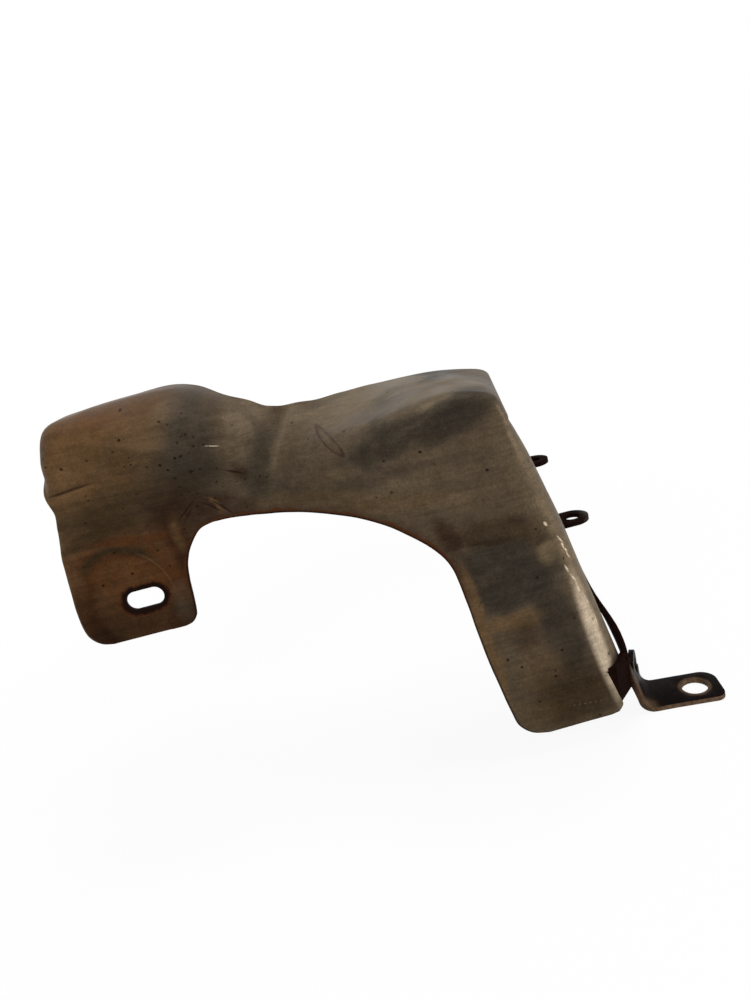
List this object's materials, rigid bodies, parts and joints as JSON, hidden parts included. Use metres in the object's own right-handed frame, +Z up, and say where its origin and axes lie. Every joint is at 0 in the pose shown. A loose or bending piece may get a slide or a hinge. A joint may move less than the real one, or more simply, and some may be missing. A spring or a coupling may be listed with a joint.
{
  "type": "exhaust heat shield",
  "caption": "Pressed steel exhaust heat shield: an arched sheet with a slotted tab, a domed lobe, a hooded leg, and a welded bolt-down bracket and eyelets on its side wall.",
  "frame": {"origin": "centre of the bolt hole in the bracket's flat foot, half way through the foot's thickness", "axes": "+Z up along the bolt hole's axis, +X along the foot and away from the shield, +Y from the shield's front face to its open back"},
  "size_m": [0.2513, 0.0671, 0.1708],
  "materials": {
    "shield_steel": "heat-tinted, satin",
    "bracket_steel": "burnt dark, satin",
    "eyelet_steel": "burnt dark, satin"
  },
  "bodies": {
    "root": {"shield_panel": "shield_steel", "foot_bracket": "bracket_steel", "upper_eyelet": "eyelet_steel", "lower_eyelet": "eyelet_steel"}
  },
  "joints": []
}
